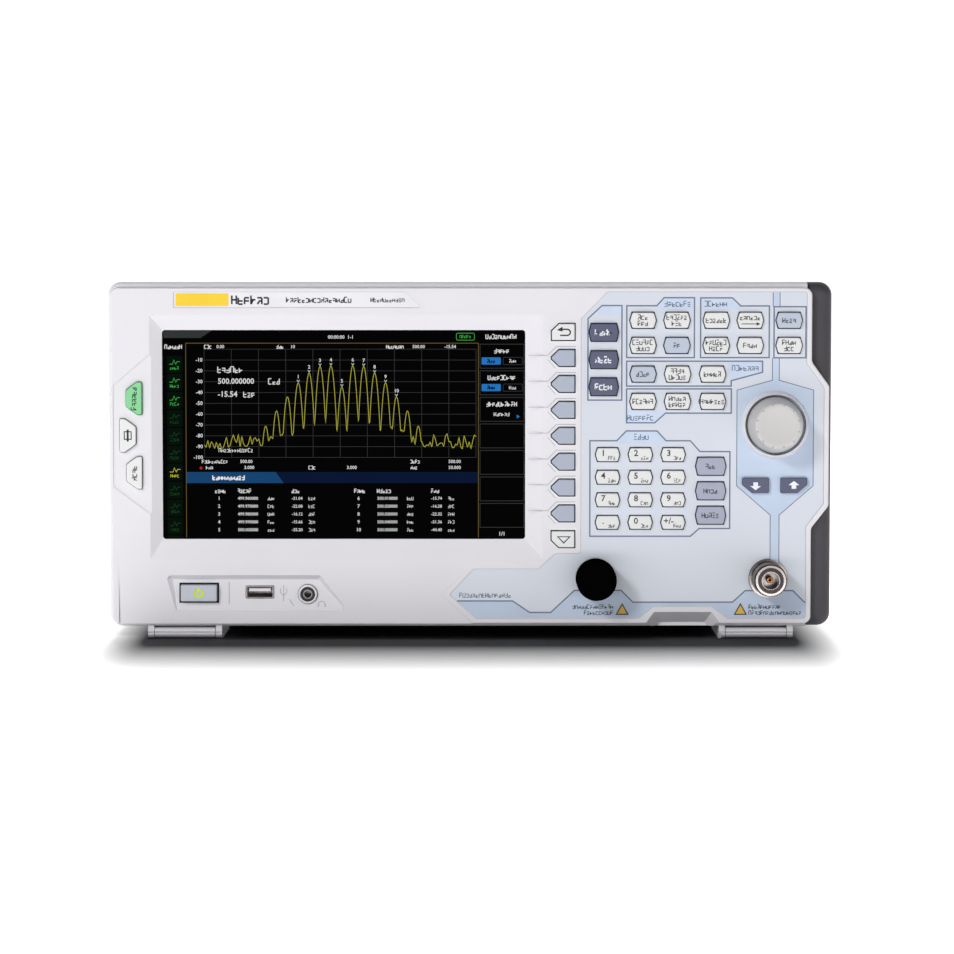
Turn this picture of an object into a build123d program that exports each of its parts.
from build123d import *
import os

# A bench spectrum analyzer. Millimetres, +Z up, front towards -Y, +X to the right as seen from
# the front. The origin is under the middle of the whole object, on the surface it stands on.

# ------------------------------------------------------------------ driving dimensions
BODY_WIDTH = 361.6
TOTAL_HEIGHT = 178.8
BODY_DEPTH = 128.0          # front face to rear rim
KNOB_PROUD = 17.0           # the knob is what stands out furthest in front
FOOT_HEIGHT = 6.3
CORNER_RADIUS = 6.5
WALL = 2.5
CUT = 1.0                   # how far a cutting tool runs past the face that it cuts

# depths, from the front backwards
FACE_Y = (KNOB_PROUD - BODY_DEPTH) / 2
FACE_BACK_Y = FACE_Y + 4.0
SKIRT_FRONT_Y = FACE_Y + 2.5
SKIRT_BACK_Y = FACE_Y + 17.5
BACK_Y = FACE_Y + BODY_DEPTH
PANEL_Y = BACK_Y - 12.0     # outer face of the sunken rear panel
PANEL_INNER_Y = PANEL_Y - WALL
REAR_RIM = 6.0              # width of the rim round the sunken rear panel
SEAM_X = 168.0              # right of this the dark rear case wraps forward
SKIRT_RADIUS = 2.5
CASE_FRONT_RADIUS = 5.5
CASE_BACK_RADIUS = 2.0
LIP_DEPTH = 6.0

# raised front face and printed overlay: both widen beside the knob
FACE_LEFT = -179.4
FACE_RIGHT = (170.3, 179.0)
FACE_Z = (7.9, 175.9)
OVERLAY_RIGHT = (167.8, 176.5)
OVERLAY_Z = (10.5, 173.9)
OVERLAY_THICKNESS = 0.5
OVERLAY_SUNK = 0.3
MARK_SUNK = 0.4             # depth of the side keys' field and the nameplate's field
NOTCH_DEPTH = 7.0           # of the finger notch under the front edge

# keys in general
KEY_PROUD = 1.6
KEY_GAP = 0.35
KEY_TRAVEL = 1.0
KEY_EDGE_RADIUS = 0.5
FLANGE_OVERLAP = 0.9
FLANGE_START_Y = FACE_BACK_Y + 0.1
FLANGE_THICKNESS = 1.2
BOARD_Y = FLANGE_START_Y + FLANGE_THICKNESS + KEY_TRAVEL + 0.2
BOARD_THICKNESS = 1.6

# keys beside the display
SOFT_KEY_X = (40.6, 44.3, 51.9)                 # tip, shoulder and right edge
SOFT_KEY_HALF = 4.0
SOFT_TIP_HALF = 0.5
SOFT_PITCH = 12.94
SOFT_TOP_Z = 153.9
SOFT_COUNT = 9

# keys on the overlay
SLATE_X = 66.5
SLATE_Z = (153.7, 140.1, 126.6)
FUNCTION_X = (86.0, 102.9, 122.5, 139.4, 158.8)
FUNCTION_Z = (159.7, 147.2)
MEASURE_X = (86.1, 103.3, 120.75)
MEASURE_Z = 132.9
UTILITY_Z = 119.3
NUMBER_X = (68.5, 84.85, 101.2)
NUMBER_Z = (92.7, 81.4, 70.1, 58.8)
MAT_MARGIN = (8.0, 5.5)
EDIT_X = 120.0
EDIT_Z = (86.9, 74.6, 62.4)
SLATE_SHAPE = ((14.3, 8.5), 0.95, 0.8)          # size, slope of the bulging sides, corner radius
FUNCTION_SHAPE = ((12.8, 7.6), 1.1, 1.1)
NUMBER_SHAPE = ((11.8, 6.5), 0.95, 0.9)
EDIT_SHAPE = ((14.7, 8.6), 1.0, 1.0)
ARROW_Z = (73.4, 81.2)
ARROW_INNER_X = (149.1, 154.7)
ARROW_OUTER_X = (135.6, 168.2)

# display
SCREEN = (-154.0, 27.4, 50.2, 154.8)            # left, right, bottom, top of the visible glass
SCREEN_BEVEL = (-160.0, 36.5, 40.0, 162.3)      # outer edge of the sloping surround
SCREEN_DEPTH = 3.0
GLASS_MARGIN = 2.0
GLASS_THICKNESS = 1.5
TRAY_MARGIN = 4.0
TRAY_DEPTH = 8.0
PANEL_MARGIN = 1.0

# knob
KNOB_AT = (152.1, 107.6)
KNOB_RADIUS = 14.5
KNOB_CROWN_RADIUS = 11.4
KNOB_DISH_RADIUS = 60.0
COLLAR_RADIUS = 17.5
COLLAR_PROUD = 2.6
KNOB_WELL_RADIUS = 15.2
SHAFT_RADIUS = 3.0
RUNNING_GAP = 0.05
BUSHING_RADIUS = 4.5
ENCODER_SIZE = (13.0, 7.0)                      # side and depth of its housing

# front connectors
GENERATOR_AT = (62.6, 30.9)
INPUT_AT = (149.0, 30.7)
THREAD_RADIUS = 7.9
CONNECTOR_PROUD = 15.0
CONNECTOR_RING_RADIUS = 9.5
CONNECTOR_TAIL_RADIUS = 6.0
CONNECTOR_HOLE_RADIUS = CONNECTOR_RING_RADIUS + 0.3
SOCKET_RADIUS = 4.3
CONTACT_RADIUS = 1.6
CONTACT_BORE_RADIUS = 0.8
CONTACT_SETBACK = 5.5
CAP_RADIUS = 10.0
CAP_GAP = 0.3

# lower left strip with the power key, the memory-stick port and the headphone socket
POCKET = (-152.2, -60.6, 14.3, 32.2)
POCKET_SLOPE = 52           # degrees that its walls lean, over this reach
POCKET_REACH = 3.4
POCKET_SPREAD = 0.8         # how much wider the walls start in front of the leaning band
POWER_AT = (-135.9, 23.3)
POWER_KEY = (18.0, 8.2)
USB_AT = (-105.5, 23.6)
USB_HOLE = (14.4, 6.6)
USB_MOUTH = (12.6, 5.1)
JACK_AT = (-81.5, 22.6)
JACK_RADIUS = 1.8
JACK_BARREL_RADIUS = 4.8

# feet and flip-out legs
FOOT_X = (124.7, 161.8)
CHEEK = 3.1
LEG_AXIS = (FACE_Y + 5.6, 3.1)                  # y and z of the hinge pin
LEG_PIN_RADIUS = 1.5
LEG_GAP = 0.3
CHEEK_BACK_Y = FACE_Y + 50.0
LEG_BACK_Y = FACE_Y + 46.0
REAR_FOOT_Y = (36.0, BACK_Y - 4.0)

# carrying handle that pulls up out of the top
HANDLE_WELL = (-72.0, 72.0, 12.0, 50.0)         # left, right, front, back
HANDLE_WELL_FLOOR = TOTAL_HEIGHT - 15.8
HANDLE_HALF = 68.0
HANDLE_DEPTH = 18.0
HANDLE_LEG_X = 55.0
HANDLE_LEG_SIZE = (14.0, 7.0)
HANDLE_STOP_SIZE = (18.0, 11.0)
HANDLE_LEG_Y = HANDLE_WELL[2] + 11.0
HANDLE_LIFT = 35.0
GUIDE_GAP = 0.3

# screws that draw the rear case to the bezel, two at the top and two at the bottom
POST_X = (-140.0, 140.0)
POST_Z = (13.5, 171.5)
POSTS = [(x, z) for x in POST_X for z in POST_Z]
POST_END_Y = FACE_Y + 21.5
SCREW_SEAT_Y = POST_END_Y + 6.0
FRONT_POST_RADIUS = 3.5
REAR_POST_RADIUS = 4.8
SCREW_RADIUS = 1.5
SCREW_HEAD_RADIUS = 2.8
SCREW_ACCESS_RADIUS = 3.3

# fan
FAN_AT = (-100.0, 112.0)
FAN_SIZE = 60.0
FAN_DEPTH = 15.0
FAN_DUCT_RADIUS = 28.5
FAN_HUB_RADIUS = 11.0
FAN_SHAFT_RADIUS = 1.5
FAN_BLADES = 7

# sockets on the rear panel
INLET_AT = (-130.0, 42.0)
INLET_BODY = (28.6, 21.0, 2.0)                  # width, height, corner radius
INLET_MOUTH = (12.0, 8.2, 3.5)                  # half width, half height, cut corner
REAR_PORT_Z = 60.0
BNC_X = (30.0, 62.0, 94.0)
BNC_RADIUS = 4.8
LAN_X = 124.0
LAN_HALF = (8.0, 6.6)
USB_B_X = 150.0
USB_B_HALF = (6.0, 5.4)
LOCK_SLOT = (160.0, 30.0, 7.0, 3.0, 1.0)        # x, z, width, height, corner radius

# things inside
INNER_BOARD_Y = POST_END_Y - 4.0
RF_BOX = (50.0, 172.0, 20.0, 114.0)             # left, right, bottom, top
RF_BACK_Y = 20.0
RF_WALL = 3.0


# ------------------------------------------------------------------ helpers
def prism(outline, front, back):
    """A solid with a front-view (X-Z) outline, between two depths."""
    return extrude(Plane.XZ.offset(-back) * outline, back - front, dir=(0, -1, 0))


def rectangle(left, right, bottom, top, radius=0.0):
    """A front-view rectangle given by its edges, with rounded corners if asked."""
    centre = Pos((left + right) / 2, (bottom + top) / 2)
    if radius:
        return centre * RectangleRounded(right - left, top - bottom, radius)
    return centre * Rectangle(right - left, top - bottom)


def grown(box, margin):
    """The four edges of a front-view rectangle, moved outwards."""
    left, right, bottom, top = box
    return left - margin, right + margin, bottom - margin, top + margin


def polygon(points, radius=0.0):
    """A front-view outline through points, with rounded corners if asked."""
    face = Polygon(*points, align=None)
    return fillet(face.vertices(), radius) if radius else face


def oblong(x, z, width, height, radius=0.8):
    """A rounded front-view rectangle given by its middle."""
    return Pos(x, z) * RectangleRounded(width, height, radius)


def block(x0, x1, y0, y1, z0, z1):
    """A plain block between two corners."""
    size = Box(x1 - x0, y1 - y0, z1 - z0)
    return Pos((x0 + x1) / 2, (y0 + y1) / 2, (z0 + z1) / 2) * size


def front_block(x, z, half, front, back):
    """A block given by its middle and half sizes in the front view, between two depths."""
    return block(x - half[0], x + half[0], front, back, z - half[1], z + half[1])


def rod(at, radius, front, back):
    """A round bar along Y at a front-view point."""
    return prism(Pos(*at) * Circle(radius), front, back)


def cross_rod(x0, x1, y, z, radius):
    """A round bar along X."""
    bar = Rot(0, 90, 0) * Cylinder(radius, x1 - x0)
    return Pos((x0 + x1) / 2, y, z) * bar


def front_edges(solid):
    """The edges round the face that looks furthest forward."""
    return solid.faces().sort_by(Axis.Y)[0].edges()


def cut_all(solid, tools):
    """The solid with every tool taken away."""
    for tool in tools:
        solid -= tool
    return solid


def leaning(points, front, low, high, outline):
    """A cut in the face whose floor leans: low and high are (z, depth) along the floor."""
    section = [(FACE_Y - front, low[0]), (FACE_Y + low[1], low[0])]
    section += [(FACE_Y + high[1], high[0]), (FACE_Y - front, high[0])]
    slab = extrude(Plane.YZ * Polygon(*section, align=None), BODY_WIDTH, both=True)
    return slab & prism(polygon(points, outline), FACE_Y - front, FACE_BACK_Y)


def body_outline(inset=0.0):
    """The rounded rectangle of the whole body seen from the front."""
    half = BODY_WIDTH / 2 - inset
    radius = max(CORNER_RADIUS - inset, 1.0)
    return rectangle(-half, half, FOOT_HEIGHT + inset, TOTAL_HEIGHT - inset, radius)


# ------------------------------------------------------------------ key outlines
def soft_key(z, top_cut=True, bottom_cut=True):
    """A key beside the display that points towards it."""
    tip, shoulder, right = SOFT_KEY_X
    half, tip_half = SOFT_KEY_HALF, SOFT_TIP_HALF
    top = [(right, z + half)]
    top += [(shoulder, z + half), (tip, z + tip_half)] if top_cut else [(tip, z + half)]
    bottom = [(tip, z - tip_half), (shoulder, z - half)] if bottom_cut else [(tip, z - half)]
    return polygon(top + bottom + [(right, z - half)], 0.45)


def barrel_key(x, z, size, slope, radius):
    """A key whose left and right sides bulge to a blunt point."""
    tip, half = size[0] / 2, size[1] / 2
    waist = tip - slope
    points = [(x - waist, z + half), (x + waist, z + half), (x + tip, z)]
    points += [(x + waist, z - half), (x - waist, z - half), (x - tip, z)]
    return polygon(points, radius)


def side_key(straight_x, cut_x, low, high):
    """A tall key at the left edge, with both corners on one side cut off."""
    shoulder = straight_x + (cut_x - straight_x) * 0.3
    cut = 4.0
    points = [(straight_x, low), (straight_x, high), (shoulder, high), (cut_x, high - cut)]
    points += [(cut_x, low + cut), (shoulder, low)]
    return polygon(points, 0.6)


def arrow_key(inner_x, outer_x):
    """A step key under the knob, with its outer lower corner cut off."""
    low, high = ARROW_Z
    cut = 4.2
    slope = inner_x + (outer_x - inner_x) * 0.63
    points = [(inner_x, low), (inner_x, high), (outer_x, high), (outer_x, low + cut), (slope, low)]
    return polygon(points, 0.7)


def soft_key_outlines():
    """The column of keys beside the display, by name."""
    keys = {}
    last = SOFT_COUNT - 1
    names = {0: "menu_up_key", last: "menu_down_key"}
    for number in range(SOFT_COUNT):
        z = SOFT_TOP_Z - SOFT_PITCH * number
        name = names.get(number, f"soft_key_{number}")
        keys[name] = soft_key(z, top_cut=number < last, bottom_cut=number > 0)
    return keys


def single_keys():
    """Every key that moves on its own, by name."""
    keys = {"power_key": oblong(*POWER_AT, *POWER_KEY, 0.5)}
    keys["preset_key"] = side_key(-163.9, -171.6, 112.8, 128.9)
    keys["print_key"] = side_key(-174.8, -166.9, 94.0, 110.6)
    keys["help_key"] = side_key(-163.9, -171.6, 75.6, 91.7)
    keys.update(soft_key_outlines())
    for name, z in zip(("frequency_key", "span_key", "amplitude_key"), SLATE_Z):
        keys[name] = barrel_key(SLATE_X, z, *SLATE_SHAPE)
    upper = ("bandwidth_key", "trace_key", "marker_key", "marker_to_key", "auto_key")
    lower = ("sweep_key", "generator_key", "marker_function_key", "peak_key", "user_key")
    measure = ("measure_key", "measure_setup_key", "demodulation_key")
    utility = ("system_key", "print_setup_key", "storage_key")
    rows = [(upper, FUNCTION_X, FUNCTION_Z[0]), (lower, FUNCTION_X, FUNCTION_Z[1])]
    rows += [(measure, MEASURE_X, MEASURE_Z), (utility, MEASURE_X, UTILITY_Z)]
    for names, columns, z in rows:
        for name, x in zip(names, columns):
            keys[name] = barrel_key(x, z, *FUNCTION_SHAPE)
    for name, z in zip(("escape_key", "back_key", "enter_key"), EDIT_Z):
        keys[name] = barrel_key(EDIT_X, z, *EDIT_SHAPE)
    for name, inner, outer in zip(("down_key", "up_key"), ARROW_INNER_X, ARROW_OUTER_X):
        keys[name] = arrow_key(inner, outer)
    return keys


def number_outlines():
    """The twelve caps of the number pad."""
    return [barrel_key(x, z, *NUMBER_SHAPE) for z in NUMBER_Z for x in NUMBER_X]


def key_cap(outline):
    """The part of a key that passes through the bezel, with a softened front edge."""
    cap = prism(outline, FACE_Y - KEY_PROUD, FLANGE_START_Y)
    return fillet(front_edges(cap), KEY_EDGE_RADIUS)


def key_flange(outline):
    """The rim behind the bezel that keeps a key in."""
    rim = offset(outline, FLANGE_OVERLAP, kind=Kind.INTERSECTION)
    return prism(rim, FLANGE_START_Y, FLANGE_START_Y + FLANGE_THICKNESS)


def number_pad():
    """Twelve caps on the one silicone mat that carries them."""
    side, end = MAT_MARGIN
    mat = rectangle(NUMBER_X[0] - side, NUMBER_X[-1] + side, NUMBER_Z[-1] - end, NUMBER_Z[0] + end, 2.0)
    pad = prism(mat, FLANGE_START_Y, FLANGE_START_Y + FLANGE_THICKNESS)
    for outline in number_outlines():
        pad += key_cap(outline)
    return pad


def key_holes(front, back):
    """Clearance holes for every key."""
    outlines = list(single_keys().values()) + number_outlines()
    return [prism(offset(outline, KEY_GAP), front, back) for outline in outlines]


# ------------------------------------------------------------------ front of the instrument
def face_outline():
    """The raised front face: it stops short of the right side, where the dark case shows."""
    narrow, wide = FACE_RIGHT
    low, high = FACE_Z
    points = [(FACE_LEFT, high), (narrow, high), (narrow, 139.0), (wide, 127.0), (wide, 67.0)]
    points += [(narrow, 55.8), (narrow, low), (FACE_LEFT, low)]
    return polygon(points, 4.0)


def overlay_outline():
    """The printed control panel, 2.5 mm inside the raised rim."""
    narrow, wide = OVERLAY_RIGHT
    low, high = OVERLAY_Z
    points = [(68.1, high), (narrow, high), (narrow, 138.1), (wide, 126.1), (wide, 68.0)]
    points += [(narrow, 56.7), (narrow, low), (128.6, low), (120.5, 16.5), (91.8, 16.5)]
    points += [(84.3, low), (2.9, low), (-10.7, 22.5), (1.5, 35.5), (34.0, 35.5), (42.5, 43.3)]
    points += [(55.1, 43.3), (55.1, 160.3)]
    return polygon(points, 1.2)


def screen_bevel():
    """The sloping-sided hollow round the display."""
    outer = Plane.XZ.offset(-FACE_Y) * rectangle(*SCREEN_BEVEL)
    inner = Plane.XZ.offset(-FACE_Y - SCREEN_DEPTH) * rectangle(*SCREEN)
    hollow = loft([outer.face(), inner.face()], ruled=True)
    return hollow + prism(rectangle(*SCREEN, 1.5), FACE_Y, FACE_BACK_Y + CUT)


def lower_band():
    """The band under the display, which leans back towards its lower edge."""
    top, left = 36.3, -176.0
    points = [(left, top), (-0.5, top), (-14.2, 22.5), (1.0, 8.5), (1.0, 0.0), (left, 0.0)]
    return leaning(points, CUT, (0.0, 1.4), (top, 0.0), 0.0)


def port_pocket():
    """The sunken strip for the power key and ports: its floor leans and its walls slope."""
    left, right, low, high = POCKET
    points = [(left, high), (right - 14.4, high), (right - 0.5, low), (left + 4.5, low)]
    mouth = offset(polygon(points, 0.0), POCKET_SPREAD, kind=Kind.INTERSECTION)
    walls = extrude(Plane.XZ.offset(-FACE_Y) * mouth, POCKET_REACH, dir=(0, 1, 0), taper=POCKET_SLOPE)
    return walls & leaning(points, CUT, (low, 1.2), (high, 2.6), 2.0)


def side_field():
    """The sunken field round the three keys at the left edge."""
    outer, inner = -178.3, -158.5
    points = [(outer, 127.1), (outer, 76.6), (inner, 61.7), (inner, 144.1)]
    return prism(polygon(points, 1.5), FACE_Y - CUT, FACE_Y + MARK_SUNK)


def nameplate_field():
    """The sunken field for a nameplate over the display."""
    left, low, high = -148.0, 165.8, 173.9
    points = [(left, high), (-32.0, high), (-24.0, low), (left, low)]
    return prism(polygon(points, 0.8), FACE_Y - CUT, FACE_Y + MARK_SUNK)


def grip_notch():
    """The finger notch under the front edge, between the two connectors."""
    outline = polygon([(79.0, -4.0), (91.9, 13.8), (120.9, 13.8), (133.0, -4.0)])
    return extrude(Plane.XZ.offset(-FACE_Y) * outline, NOTCH_DEPTH, dir=(0, 1, 0), taper=40)


def grip_backing():
    """The thick part behind the face that closes the finger notch off from the inside."""
    return block(76.5, 135.0, FACE_BACK_Y - 0.5, FACE_Y + NOTCH_DEPTH + WALL, FOOT_HEIGHT + 1.0, 17.0)


def knob_collar():
    """The low cone that the knob sits in."""
    root = 1.4
    height = COLLAR_PROUD + root
    cone = Cone(COLLAR_RADIUS, KNOB_WELL_RADIUS + 0.5, height)
    return Pos(KNOB_AT[0], FACE_Y + root - height / 2, KNOB_AT[1]) * Rot(90, 0, 0) * cone


# ------------------------------------------------------------------ feet and legs
def foot_profile(nose_radius, low, high, back):
    """Side view of a foot or leg: a rounded nose on the hinge axis and a flat bar behind it."""
    y, z = LEG_AXIS
    nose = Pos(y, z) * Circle(nose_radius)
    bar = Pos((y + back) / 2, (low + high) / 2) * Rectangle(back - y, high - low)
    return Plane.YZ * (nose + bar)


def nose_groove(x0, x1, nose_radius):
    """The groove along the front of a foot."""
    side = 0.9
    tool = Rot(45, 0, 0) * Box(x1 - x0, side, side)
    return Pos((x0 + x1) / 2, LEG_AXIS[0] - nose_radius, LEG_AXIS[1]) * tool


def foot_cheeks(side):
    """The two fixed cheeks of a front foot, with the bores that hold the leg's pins."""
    y, z = LEG_AXIS
    inner, outer = FOOT_X
    web, root = 0.7, 1.0
    cheeks = Part()
    for near, far in ((inner, inner + CHEEK), (outer - CHEEK, outer)):
        x0, x1 = sorted((side * near, side * far))
        profile = foot_profile(z, 0.0, FOOT_HEIGHT, CHEEK_BACK_Y)
        cheek = Pos(x0, 0, 0) * extrude(profile, x1 - x0)
        cheek += block(x0, x1, y - 2.4, y + 8.0, z, FOOT_HEIGHT + root)
        cheeks += cheek - nose_groove(x0, x1, z)
    x0, x1 = sorted((side * (inner + web), side * (outer - web)))
    return cheeks - cross_rod(x0, x1, y, z, LEG_PIN_RADIUS + RUNNING_GAP)


def leg(side):
    """A flip-out leg between the cheeks of a front foot, with a thumb notch at its back."""
    y, z = LEG_AXIS
    inner, outer = FOOT_X[0] + CHEEK + LEG_GAP, FOOT_X[1] - CHEEK - LEG_GAP
    x0, x1 = sorted((side * inner, side * outer))
    nose = z - 0.2
    bar = Pos(x0, 0, 0) * extrude(foot_profile(nose, 0.3, 5.9, LEG_BACK_Y), x1 - x0)
    bar -= nose_groove(x0, x1, nose)
    bar -= Pos((x0 + x1) / 2, LEG_BACK_Y, 0) * Cylinder(7.0, 8.0)
    reach = CHEEK + LEG_GAP - 1.0
    return bar + cross_rod(x0 - reach, x1 + reach, y, z, LEG_PIN_RADIUS)


# ------------------------------------------------------------------ bezel, overlay, display
def bezel_cuts():
    """Everything that is cut out of the front moulding."""
    cuts = [screen_bevel(), lower_band(), port_pocket(), side_field(), nameplate_field(), grip_notch()]
    cuts.append(rod(KNOB_AT, KNOB_WELL_RADIUS, FACE_Y - 10, FACE_Y + 1.5))
    cuts.append(rod(KNOB_AT, BUSHING_RADIUS + 0.2, FACE_Y - 10, FACE_BACK_Y + CUT))
    front, back = FACE_Y - CUT, FACE_BACK_Y + CUT
    cuts += [rod(at, CONNECTOR_HOLE_RADIUS, front, back) for at in (GENERATOR_AT, INPUT_AT)]
    cuts.append(prism(oblong(*USB_AT, *USB_HOLE, 0.6), front, back))
    cuts.append(rod(JACK_AT, JACK_BARREL_RADIUS + 0.2, front, back))
    cuts += [rod(at, SCREW_RADIUS, POST_END_Y - 10, POST_END_Y + CUT) for at in POSTS]
    return cuts + key_holes(FACE_Y - 4, FLANGE_START_Y - 0.05)


def front_bezel():
    """The light moulded front: face, skirt round the body, feet and screw posts."""
    skirt = fillet(front_edges(prism(body_outline(), SKIRT_FRONT_Y, SKIRT_BACK_Y)), SKIRT_RADIUS)
    skirt -= prism(body_outline(WALL), FACE_BACK_Y, SKIRT_BACK_Y + CUT)
    skirt -= block(SEAM_X, BODY_WIDTH, FACE_Y - CUT, SKIRT_BACK_Y + CUT, 0, TOTAL_HEIGHT + CUT)
    face = fillet(front_edges(prism(face_outline(), FACE_Y, FACE_BACK_Y)), 0.8)
    bezel = skirt + face
    bezel -= prism(overlay_outline(), FACE_Y - CUT, FACE_Y + OVERLAY_THICKNESS + OVERLAY_SUNK)
    bezel += knob_collar() + grip_backing()
    for at in POSTS:
        bezel += rod(at, FRONT_POST_RADIUS, FACE_BACK_Y - 0.5, POST_END_Y)
    for side in (-1, 1):
        bezel += foot_cheeks(side)
    return cut_all(bezel, bezel_cuts())


def control_overlay():
    """The thin printed sheet on the bezel, pierced for the keys, knob and connectors."""
    front = FACE_Y + OVERLAY_SUNK
    sheet = prism(offset(overlay_outline(), -0.1), front, front + OVERLAY_THICKNESS)
    holes = [rod(KNOB_AT, COLLAR_RADIUS + 0.3, front - CUT, front + CUT)]
    holes += [rod(at, CONNECTOR_HOLE_RADIUS, front - CUT, front + CUT) for at in (GENERATOR_AT, INPUT_AT)]
    return cut_all(sheet, holes + key_holes(front - CUT, front + CUT))


def display_window():
    """The clear pane over the display."""
    pane = rectangle(*grown(SCREEN, GLASS_MARGIN), 1.0)
    return prism(pane, FACE_BACK_Y, FACE_BACK_Y + GLASS_THICKNESS)


def lcd_module():
    """The liquid-crystal panel in its metal tray."""
    front = FACE_BACK_Y + GLASS_THICKNESS
    panel_back = front + 1.0
    opening = rectangle(*grown(SCREEN, PANEL_MARGIN))
    tray = prism(rectangle(*grown(SCREEN, TRAY_MARGIN), 1.5), front, front + TRAY_DEPTH)
    tray -= prism(opening, front - CUT, panel_back)
    panel = prism(opening, front, panel_back)
    return Compound(children=[tray.solid(), panel.solid()])


def front_boards():
    """The key boards behind the bezel and the encoder that the knob turns in."""
    back = BOARD_Y + BOARD_THICKNESS
    right_board = prism(rectangle(36.5, SEAM_X - 0.5, 45.0, 166.5, 2.0), BOARD_Y, back)
    right_board -= rod(KNOB_AT, BUSHING_RADIUS + 0.2, BOARD_Y - CUT, back + CUT)
    left_board = prism(rectangle(-177.0, -161.0, 70.0, 135.0, 2.0), BOARD_Y, back)
    port_board = prism(rectangle(-150.0, -66.0, 18.0, 33.0, 1.0), BOARD_Y, back)
    width, height = (size + 0.4 for size in USB_HOLE)
    port_board -= prism(oblong(*USB_AT, width, height, 0.6), BOARD_Y - CUT, back + CUT)
    port_board -= rod(JACK_AT, JACK_BARREL_RADIUS + 0.4, BOARD_Y - CUT, back + CUT)
    side, depth = ENCODER_SIZE
    encoder = prism(Pos(*KNOB_AT) * Rectangle(side, side), back, back + depth)
    encoder += rod(KNOB_AT, BUSHING_RADIUS, FACE_Y + 3.0, back)
    encoder -= rod(KNOB_AT, SHAFT_RADIUS + RUNNING_GAP, FACE_Y, back + depth - 1.5)
    return Compound(children=[piece.solid() for piece in (right_board, left_board, port_board, encoder)])


def tuning_knob():
    """The tapered knob with a shallow crown, on its shaft."""
    base_y, tip_y = FACE_Y + 0.9, FACE_Y - KNOB_PROUD
    dish_depth = 0.7
    cap = Cone(KNOB_RADIUS, KNOB_CROWN_RADIUS, base_y - tip_y)
    cap = Pos(KNOB_AT[0], (base_y + tip_y) / 2, KNOB_AT[1]) * Rot(90, 0, 0) * cap
    cap = fillet(front_edges(cap), 1.5)
    cap -= Pos(KNOB_AT[0], tip_y + dish_depth - KNOB_DISH_RADIUS, KNOB_AT[1]) * Sphere(KNOB_DISH_RADIUS)
    return cap + rod(KNOB_AT, SHAFT_RADIUS, base_y - 1, BOARD_Y + BOARD_THICKNESS + 5.0)


# ------------------------------------------------------------------ front sockets
def n_connector(at):
    """A threaded coaxial socket: shell, insulator and centre contact."""
    tip = FACE_Y - CONNECTOR_PROUD
    end = POST_END_Y - 4.0
    socket_end = end - 2.0
    shell = rod(at, THREAD_RADIUS, tip, FACE_BACK_Y)
    shell += rod(at, CONNECTOR_RING_RADIUS, FACE_Y - 1.2, FACE_Y + 2)
    shell += rod(at, CONNECTOR_TAIL_RADIUS, FACE_Y, end)
    shell -= rod(at, SOCKET_RADIUS, tip - CUT, socket_end)
    insulator = rod(at, SOCKET_RADIUS, FACE_Y - 4.0, socket_end)
    insulator -= rod(at, CONTACT_RADIUS, FACE_Y - 5.0, end)
    contact_tip = tip + CONTACT_SETBACK
    contact = rod(at, CONTACT_RADIUS, contact_tip, socket_end)
    contact -= rod(at, CONTACT_BORE_RADIUS, contact_tip - CUT, contact_tip + 4.0)
    return [shell.solid(), insulator.solid(), contact.solid()]


def n_connectors():
    """The generator output and the signal input."""
    return Compound(children=n_connector(GENERATOR_AT) + n_connector(INPUT_AT))


def gen_output_cap():
    """The dust cap over the generator output."""
    tip = FACE_Y - KNOB_PROUD + 0.1
    rim = FACE_Y - 1.6
    cap = fillet(front_edges(rod(GENERATOR_AT, CAP_RADIUS, tip, rim)), 0.8)
    return cap - rod(GENERATOR_AT, THREAD_RADIUS + CAP_GAP, FACE_Y - CONNECTOR_PROUD - 0.4, rim + CUT)


def memory_stick_port():
    """The memory-stick socket with its tongue."""
    x, z = USB_AT
    front, back = FACE_Y + 1.5, FACE_Y + 17.0
    shell = prism(oblong(x, z, USB_HOLE[0] - 0.4, USB_HOLE[1] - 0.4, 0.6), front, back)
    shell -= prism(oblong(x, z, *USB_MOUTH, 0.4), front - CUT, back - 1.0)
    return shell + block(x - 5.5, x + 5.5, front + 1.2, back - 0.5, z + 0.3, z + 2.0)


def headphone_jack():
    """The round headphone socket."""
    front, back = FACE_Y + 0.9, FACE_Y + 16.0
    bore = rod(JACK_AT, JACK_RADIUS, front - CUT, back - 2.0)
    return rod(JACK_AT, JACK_BARREL_RADIUS, front, back) - bore


def front_sockets():
    """The two sockets that are soldered to the board behind the lower strip."""
    return Compound(children=[memory_stick_port().solid(), headphone_jack().solid()])


# ------------------------------------------------------------------ rear sockets
def power_inlet():
    """The recessed mains inlet with its three blades, on the rear panel."""
    x, z = INLET_AT
    inlet = prism(oblong(x, z, 50.0, 24.0, 8.0), PANEL_Y, PANEL_Y + 3.0)
    inlet += prism(oblong(x, z, *INLET_BODY), PANEL_Y - 20.0, PANEL_Y)
    half, rise, corner = INLET_MOUTH
    mouth = [(x - half, z - rise), (x - half, z + rise - corner), (x - half + corner, z + rise)]
    mouth += [(x + half - corner, z + rise), (x + half, z + rise - corner), (x + half, z - rise)]
    inlet -= prism(polygon(mouth, 0.6), PANEL_Y - 16.0, PANEL_Y + 4.0)
    for dx, dz in ((-7.0, -2.0), (0.0, 2.0), (7.0, -2.0)):
        inlet += front_block(x + dx, z + dz, (1.0, 2.0), PANEL_Y - 17.0, PANEL_Y - 3.0)
    for dx in (-20.0, 20.0):
        inlet -= rod((x + dx, z), SCREW_RADIUS, PANEL_Y - CUT, PANEL_Y + 4)
    return inlet


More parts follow.
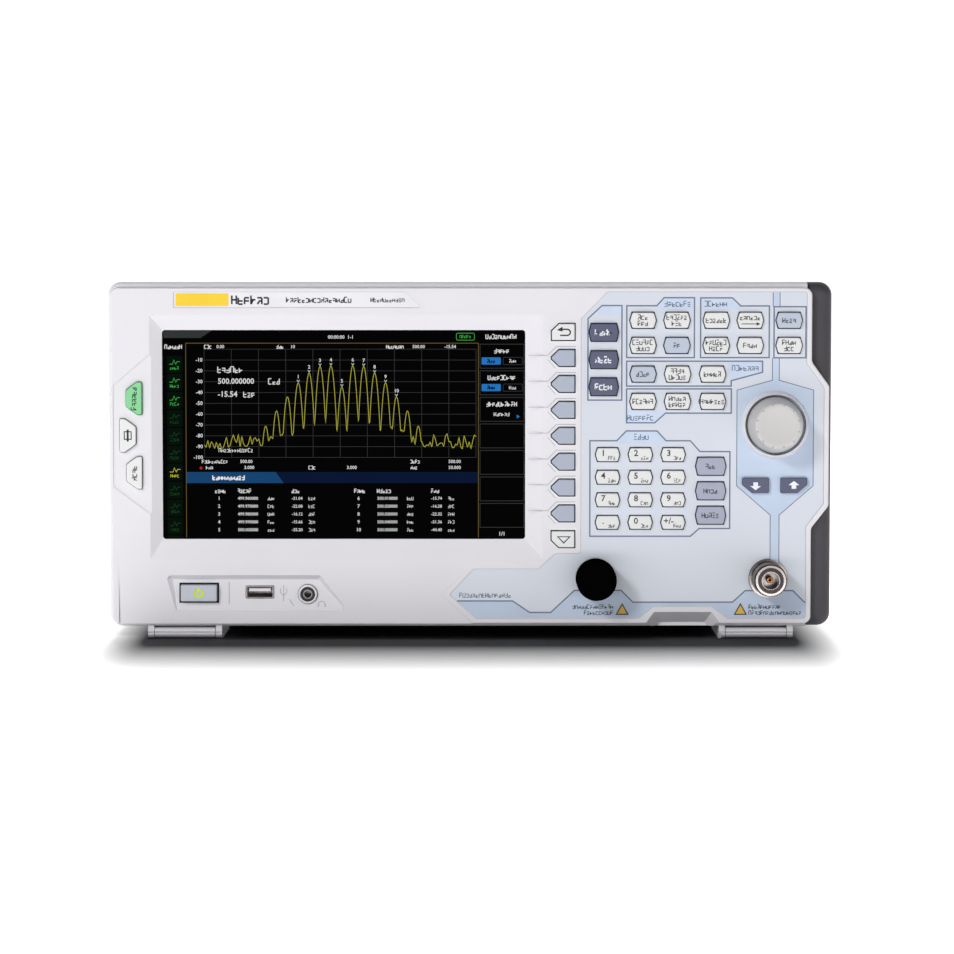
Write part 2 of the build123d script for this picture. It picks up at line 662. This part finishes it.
def bnc_socket(x):
    """A bayonet coaxial socket: shell with two lugs, and its contact."""
    at = (x, REAR_PORT_Z)
    tip = PANEL_Y + 11.0
    floor = PANEL_Y + 1.0
    shell = rod(at, BNC_RADIUS, PANEL_Y - 10, tip) + rod(at, 7.2, PANEL_Y, PANEL_Y + 2.4)
    shell += Pos(x, tip - 3.2, REAR_PORT_Z) * Cylinder(1.0, 11.2)
    shell -= rod(at, 3.6, floor, tip + CUT)
    contact = rod(at, 1.1, floor, tip - 3.0) - rod(at, 0.5, PANEL_Y + 4.0, tip)
    return [shell.solid(), contact.solid()]


def network_socket():
    """The network socket with the slot for the plug's latch."""
    z = REAR_PORT_Z
    mouth = PANEL_Y + 1
    shell = front_block(LAN_X, z, LAN_HALF, PANEL_Y - 18, PANEL_Y + 0.6)
    shell -= block(LAN_X - 6.0, LAN_X + 6.0, PANEL_Y - 13, mouth, z - 4.2, z + 2.6)
    return shell - block(LAN_X - 2.0, LAN_X + 2.0, PANEL_Y - 10, mouth, z + 2.0, z + 5.0)


def computer_socket():
    """The almost square socket for a computer, with its tongue."""
    z = REAR_PORT_Z
    shell = front_block(USB_B_X, z, USB_B_HALF, PANEL_Y - 16, PANEL_Y + 0.6)
    shell -= front_block(USB_B_X, z, (4.2, 3.9), PANEL_Y - 10, PANEL_Y + 1)
    return shell + front_block(USB_B_X, z, (2.8, 1.6), PANEL_Y - 12, PANEL_Y - 1.0)


def rear_connectors():
    """Three bayonet sockets, the network socket and the computer socket."""
    solids = [solid for x in BNC_X for solid in bnc_socket(x)]
    return Compound(children=solids + [network_socket().solid(), computer_socket().solid()])


# ------------------------------------------------------------------ rear case
def fan_grille():
    """Slots in the rear panel behind the fan, cut to a circle."""
    slots = Sketch()
    for row in range(-4, 5):
        slots += Pos(FAN_AT[0], FAN_AT[1] + row * 6.2) * SlotOverall(54.0, 3.4)
    return prism(slots & Pos(*FAN_AT) * Circle(28.0), PANEL_INNER_Y - CUT, PANEL_Y + CUT)


def rear_panel():
    """The flat panel sunk into the back, which the fan and the rear sockets are fixed to."""
    front, back = PANEL_INNER_Y - CUT, PANEL_Y + CUT
    z = REAR_PORT_Z
    cuts = [fan_grille(), prism(oblong(*INLET_AT, *INLET_BODY), front, back)]
    cuts += [rod(at, SCREW_ACCESS_RADIUS, front, back) for at in POSTS]
    cuts += [rod((x, z), BNC_RADIUS, front, back) for x in BNC_X]
    cuts += [front_block(LAN_X, z, LAN_HALF, front, back), front_block(USB_B_X, z, USB_B_HALF, front, back)]
    cuts.append(prism(oblong(*LOCK_SLOT), front, back))
    return cut_all(prism(body_outline(WALL), PANEL_INNER_Y, PANEL_Y), cuts)


def side_vents():
    """Upright slots in both side walls."""
    vents = []
    for x in (-BODY_WIDTH / 2, BODY_WIDTH / 2):
        for number in range(9):
            y = -20.0 + number * 7.0
            slot = Plane.YZ * Pos(y, 112.0) * SlotOverall(46.0, 3.2, rotation=90)
            vents.append(Pos(x, 0, 0) * extrude(slot, 6.0, both=True))
    return vents


def bottom_vents():
    """Two rows of slots under the instrument."""
    vents = []
    for y in (-5.0, 20.0):
        for number in range(14):
            x = -91.0 + number * 14.0
            slot = Pos(x, y) * SlotOverall(18.0, 3.2, rotation=90)
            vents.append(extrude(slot, FOOT_HEIGHT + 6.0))
    return vents


def board_window():
    """The way through the case's front lip for the bezel's wide part beside the knob."""
    left, right = 150.0, 173.0
    points = [(left, 60.0), (SEAM_X, 60.0), (right, 66.0), (right, 129.0), (SEAM_X, 135.5), (left, 135.5)]
    return prism(polygon(points), FACE_BACK_Y - CUT, FACE_BACK_Y + LIP_DEPTH + CUT)


def rear_post(at):
    """A screw post with the web that joins it to the nearer wall."""
    x, z = at
    wall_z = TOTAL_HEIGHT - 1 if z > TOTAL_HEIGHT / 2 else FOOT_HEIGHT + 1
    low, high = sorted((z, wall_z))
    web = block(x - REAR_POST_RADIUS, x + REAR_POST_RADIUS, POST_END_Y, PANEL_INNER_Y, low, high)
    return rod(at, REAR_POST_RADIUS, POST_END_Y, PANEL_INNER_Y) + web


def rear_shell():
    """The dark shell: it wraps forward along the right side and ends in a rim at the back."""
    front = FACE_BACK_Y
    left, right, well_front, well_back = HANDLE_WELL
    shell = fillet(front_edges(prism(body_outline(), front, BACK_Y)), CASE_FRONT_RADIUS)
    shell = fillet(shell.faces().sort_by(Axis.Y)[-1].edges(), CASE_BACK_RADIUS)
    shell -= prism(body_outline(WALL), front + LIP_DEPTH, PANEL_Y)
    shell -= prism(body_outline(REAR_RIM), PANEL_Y - CUT, BACK_Y + CUT)
    shell -= block(-BODY_WIDTH, SEAM_X, front - CUT, SKIRT_BACK_Y, 0, TOTAL_HEIGHT + CUT)
    shell -= board_window()
    shell -= block(left, right, well_front, well_back, HANDLE_WELL_FLOOR, TOTAL_HEIGHT + CUT)
    for at in POSTS:
        shell += rear_post(at)
    for side in (-1, 1):
        x0, x1 = sorted((side * FOOT_X[0], side * FOOT_X[1]))
        foot = block(x0, x1, *REAR_FOOT_Y, 0, FOOT_HEIGHT + 0.5)
        shell += fillet(foot.edges().filter_by(Axis.Z), 3.0)
    cuts = [rod(at, SCREW_ACCESS_RADIUS, SCREW_SEAT_Y, PANEL_Y) for at in POSTS]
    cuts += [rod(at, SCREW_RADIUS + 0.1, POST_END_Y - CUT, SCREW_SEAT_Y + CUT) for at in POSTS]
    return cut_all(shell, cuts + side_vents() + bottom_vents())


def handle_tray():
    """The tub under the handle, with guides for the handle's two legs."""
    left, right, front, back = HANDLE_WELL
    floor, top = HANDLE_WELL_FLOOR, TOTAL_HEIGHT - WALL
    tray = block(left - WALL, right + WALL, front - WALL, back + WALL, floor - WALL, top)
    tray -= block(left, right, front, back, floor, top + CUT)
    width, depth = (size / 2 + GUIDE_GAP for size in HANDLE_LEG_SIZE)
    for x in (-HANDLE_LEG_X, HANDLE_LEG_X):
        y = HANDLE_LEG_Y
        tray -= block(x - width, x + width, y - depth, y + depth, floor - 5, floor + CUT)
    return tray


def rear_case():
    """The rear shell and the handle's tray that is welded into its top."""
    return Compound(children=[rear_shell().solid(), handle_tray().solid()])


def carry_handle():
    """The bar across the top with two legs that slide in the tray's guides."""
    front = HANDLE_WELL[2] + 2.0
    low, high = HANDLE_WELL_FLOOR + 2.5, TOTAL_HEIGHT - 0.3
    bar = block(-HANDLE_HALF, HANDLE_HALF, front, front + HANDLE_DEPTH, low, high)
    bar = fillet(bar.edges().filter_by(Axis.X), 3.0)
    stop_top = HANDLE_WELL_FLOOR - WALL - HANDLE_LIFT - 0.5
    stop_low = stop_top - 3.0
    for x in (-HANDLE_LEG_X, HANDLE_LEG_X):
        for size, top in ((HANDLE_LEG_SIZE, HANDLE_WELL_FLOOR + 4), (HANDLE_STOP_SIZE, stop_top)):
            width, depth = size[0] / 2, size[1] / 2
            y = HANDLE_LEG_Y
            bar += block(x - width, x + width, y - depth, y + depth, stop_low, top)
    return bar


def case_screws():
    """Four screws deep in the posts."""
    screws = []
    for at in POSTS:
        head = rod(at, SCREW_HEAD_RADIUS, SCREW_SEAT_Y, SCREW_SEAT_Y + 2.4)
        key_socket = prism(Pos(*at) * RegularPolygon(1.4, 6), SCREW_SEAT_Y + 1.0, SCREW_SEAT_Y + 3)
        shank = rod(at, SCREW_RADIUS, POST_END_Y - 9, SCREW_SEAT_Y)
        screws.append((head - key_socket + shank).solid())
    return Compound(children=screws)


# ------------------------------------------------------------------ inside
def main_board():
    """The processor board behind the display, with its chips and a finned heat sink."""
    board = prism(rectangle(-150, 45, 24, 150), INNER_BOARD_Y, INNER_BOARD_Y + BOARD_THICKNESS)
    back = INNER_BOARD_Y + BOARD_THICKNESS - 0.1
    chips = [(-90, 95, 32, 32, 3.0), (-30, 110, 22, 22, 2.5), (-30, 70, 26, 14, 2.5)]
    chips += [(-125, 50, 20, 26, 12.0), (20, 50, 18, 40, 9.0), (20, 120, 28, 18, 5.0)]
    for x, z, width, height, depth in chips:
        board += front_block(x, z, (width / 2, height / 2), back, back + depth)
    for fin in range(6):
        x = -103 + fin * 5.2
        board += block(x, x + 1.4, back + 2.9, back + 14, 80, 110)
    return board


def rf_module():
    """The screened radio-frequency box, open at the back, and its ribbed lid."""
    front, back = INNER_BOARD_Y, RF_BACK_Y
    left, right, low, high = RF_BOX
    outline = rectangle(*RF_BOX, 2.0)
    box = prism(outline, front, back)
    box -= prism(rectangle(*grown(RF_BOX, -RF_WALL)), front + RF_WALL, back + CUT)
    box += block(108, 108 + RF_WALL, front + RF_WALL - 0.5, back, low + 2, high - 2)
    lid = prism(outline, back, back + 2.0)
    for row in range(7):
        z = low + 12 + row * 12
        lid += block(left + 10, right - 10, back + 1.9, back + 8.0, z, z + 2)
    return Compound(children=[box.solid(), lid.solid()])


def power_supply():
    """The mains power supply board with its transformer, capacitors and heat sink."""
    low = 22.0
    top = low + BOARD_THICKNESS
    supply = block(-172, -72, -12, 36, low, top)
    supply += block(-128, -98, -6, 24, top - 0.1, 50)
    supply += block(-90, -78, -8, 32, top - 0.1, 56)
    capacitors = [(-160, 4, 9, 34), (-140, 4, 7, 26), (-160, 26, 6, 22), (-140, 24, 6, 22)]
    for x, y, radius, height in capacitors:
        supply += Pos(x, y, top - 0.1 + height / 2) * Cylinder(radius, height)
    return supply


def fan_frame():
    """The fan's square frame with its round duct and the spider that holds the bearing."""
    back = PANEL_INNER_Y
    front = back - FAN_DEPTH
    side = FAN_SIZE / 2
    square = rectangle(FAN_AT[0] - side, FAN_AT[0] + side, FAN_AT[1] - side, FAN_AT[1] + side, 3.0)
    frame = prism(square, front, back) - rod(FAN_AT, FAN_DUCT_RADIUS, front - CUT, back + CUT)
    frame += rod(FAN_AT, 9.0, front, front + 2.5)
    for turn in (45, 135, 225, 315):
        arm = Pos(*FAN_AT) * Rot(0, 0, turn) * Pos(18.6, 0) * Rectangle(21.0, 3.0)
        frame += prism(arm, front, front + 2.0)
    frame -= rod(FAN_AT, FAN_SHAFT_RADIUS + RUNNING_GAP, front - CUT, front + 2.6)
    holes = [(FAN_AT[0] + x, FAN_AT[1] + z) for x in (-25, 25) for z in (-25, 25)]
    return cut_all(frame, [rod(at, 2.0, front - CUT, back + CUT) for at in holes])


def fan_rotor():
    """The fan's hub with its pitched blades and its shaft."""
    back = PANEL_INNER_Y - 1.5
    front = PANEL_INNER_Y - FAN_DEPTH + 3.2
    rotor = rod(FAN_AT, FAN_HUB_RADIUS, front, back) + rod(FAN_AT, FAN_SHAFT_RADIUS, front - 3.0, front + 1)
    middle = (front + back) / 2
    pitch, blade_radius = 35, 18.4
    for number in range(FAN_BLADES):
        blade = Pos(blade_radius, 0, 0) * Rot(pitch, 0, 0) * Box(18.0, 1.4, 11.0)
        rotor += Pos(FAN_AT[0], middle, FAN_AT[1]) * Rot(0, number * 360 / FAN_BLADES, 0) * blade
    return rotor


# ------------------------------------------------------------------ writing
def all_nodes():
    """Every node by name."""
    makers = (front_bezel, rear_case, rear_panel, control_overlay, display_window, lcd_module, front_boards,
              main_board, rf_module, power_supply, fan_frame, fan_rotor, n_connectors, gen_output_cap,
              front_sockets, power_inlet, rear_connectors, carry_handle, case_screws, tuning_knob)
    nodes = {maker.__name__: maker() for maker in makers}
    nodes.update({"left_leg": leg(-1), "right_leg": leg(1), "number_keys": number_pad()})
    for name, outline in single_keys().items():
        nodes[name] = key_cap(outline) + key_flange(outline)
    return nodes


os.makedirs("parts", exist_ok=True)
for node_name, shape in all_nodes().items():
    export_step(shape, f"parts/{node_name}.step")
